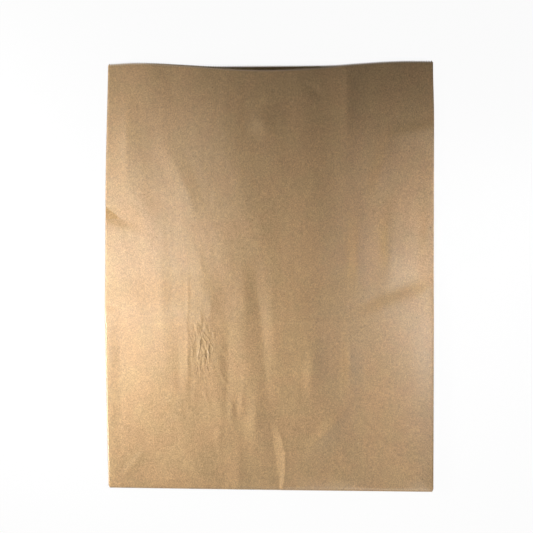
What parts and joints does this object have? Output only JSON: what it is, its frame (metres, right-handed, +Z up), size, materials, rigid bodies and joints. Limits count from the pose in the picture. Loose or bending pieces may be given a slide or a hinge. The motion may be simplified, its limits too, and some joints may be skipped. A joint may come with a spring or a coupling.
{
  "type": "paper lunch bag",
  "caption": "Flat-folded brown kraft paper lunch bag with side gussets, a folded square base and a serrated open mouth.",
  "frame": {"origin": "middle of the bag's footprint, on the surface that it lies on", "axes": "+Z up, out of the plain front panel; +Y along the bag from the folded base to the open mouth; +X across the bag, to the right of someone who looks down on the front panel with the mouth away from them"},
  "size_m": [0.254, 0.33, 0.0112],
  "materials": {
    "kraft_paper": "uncoated brown kraft paper, matt with a faint machine-glazed sheen, fine fibres and small dark flecks"
  },
  "bodies": {
    "root": {"paper_bag": "kraft_paper"}
  },
  "joints": []
}
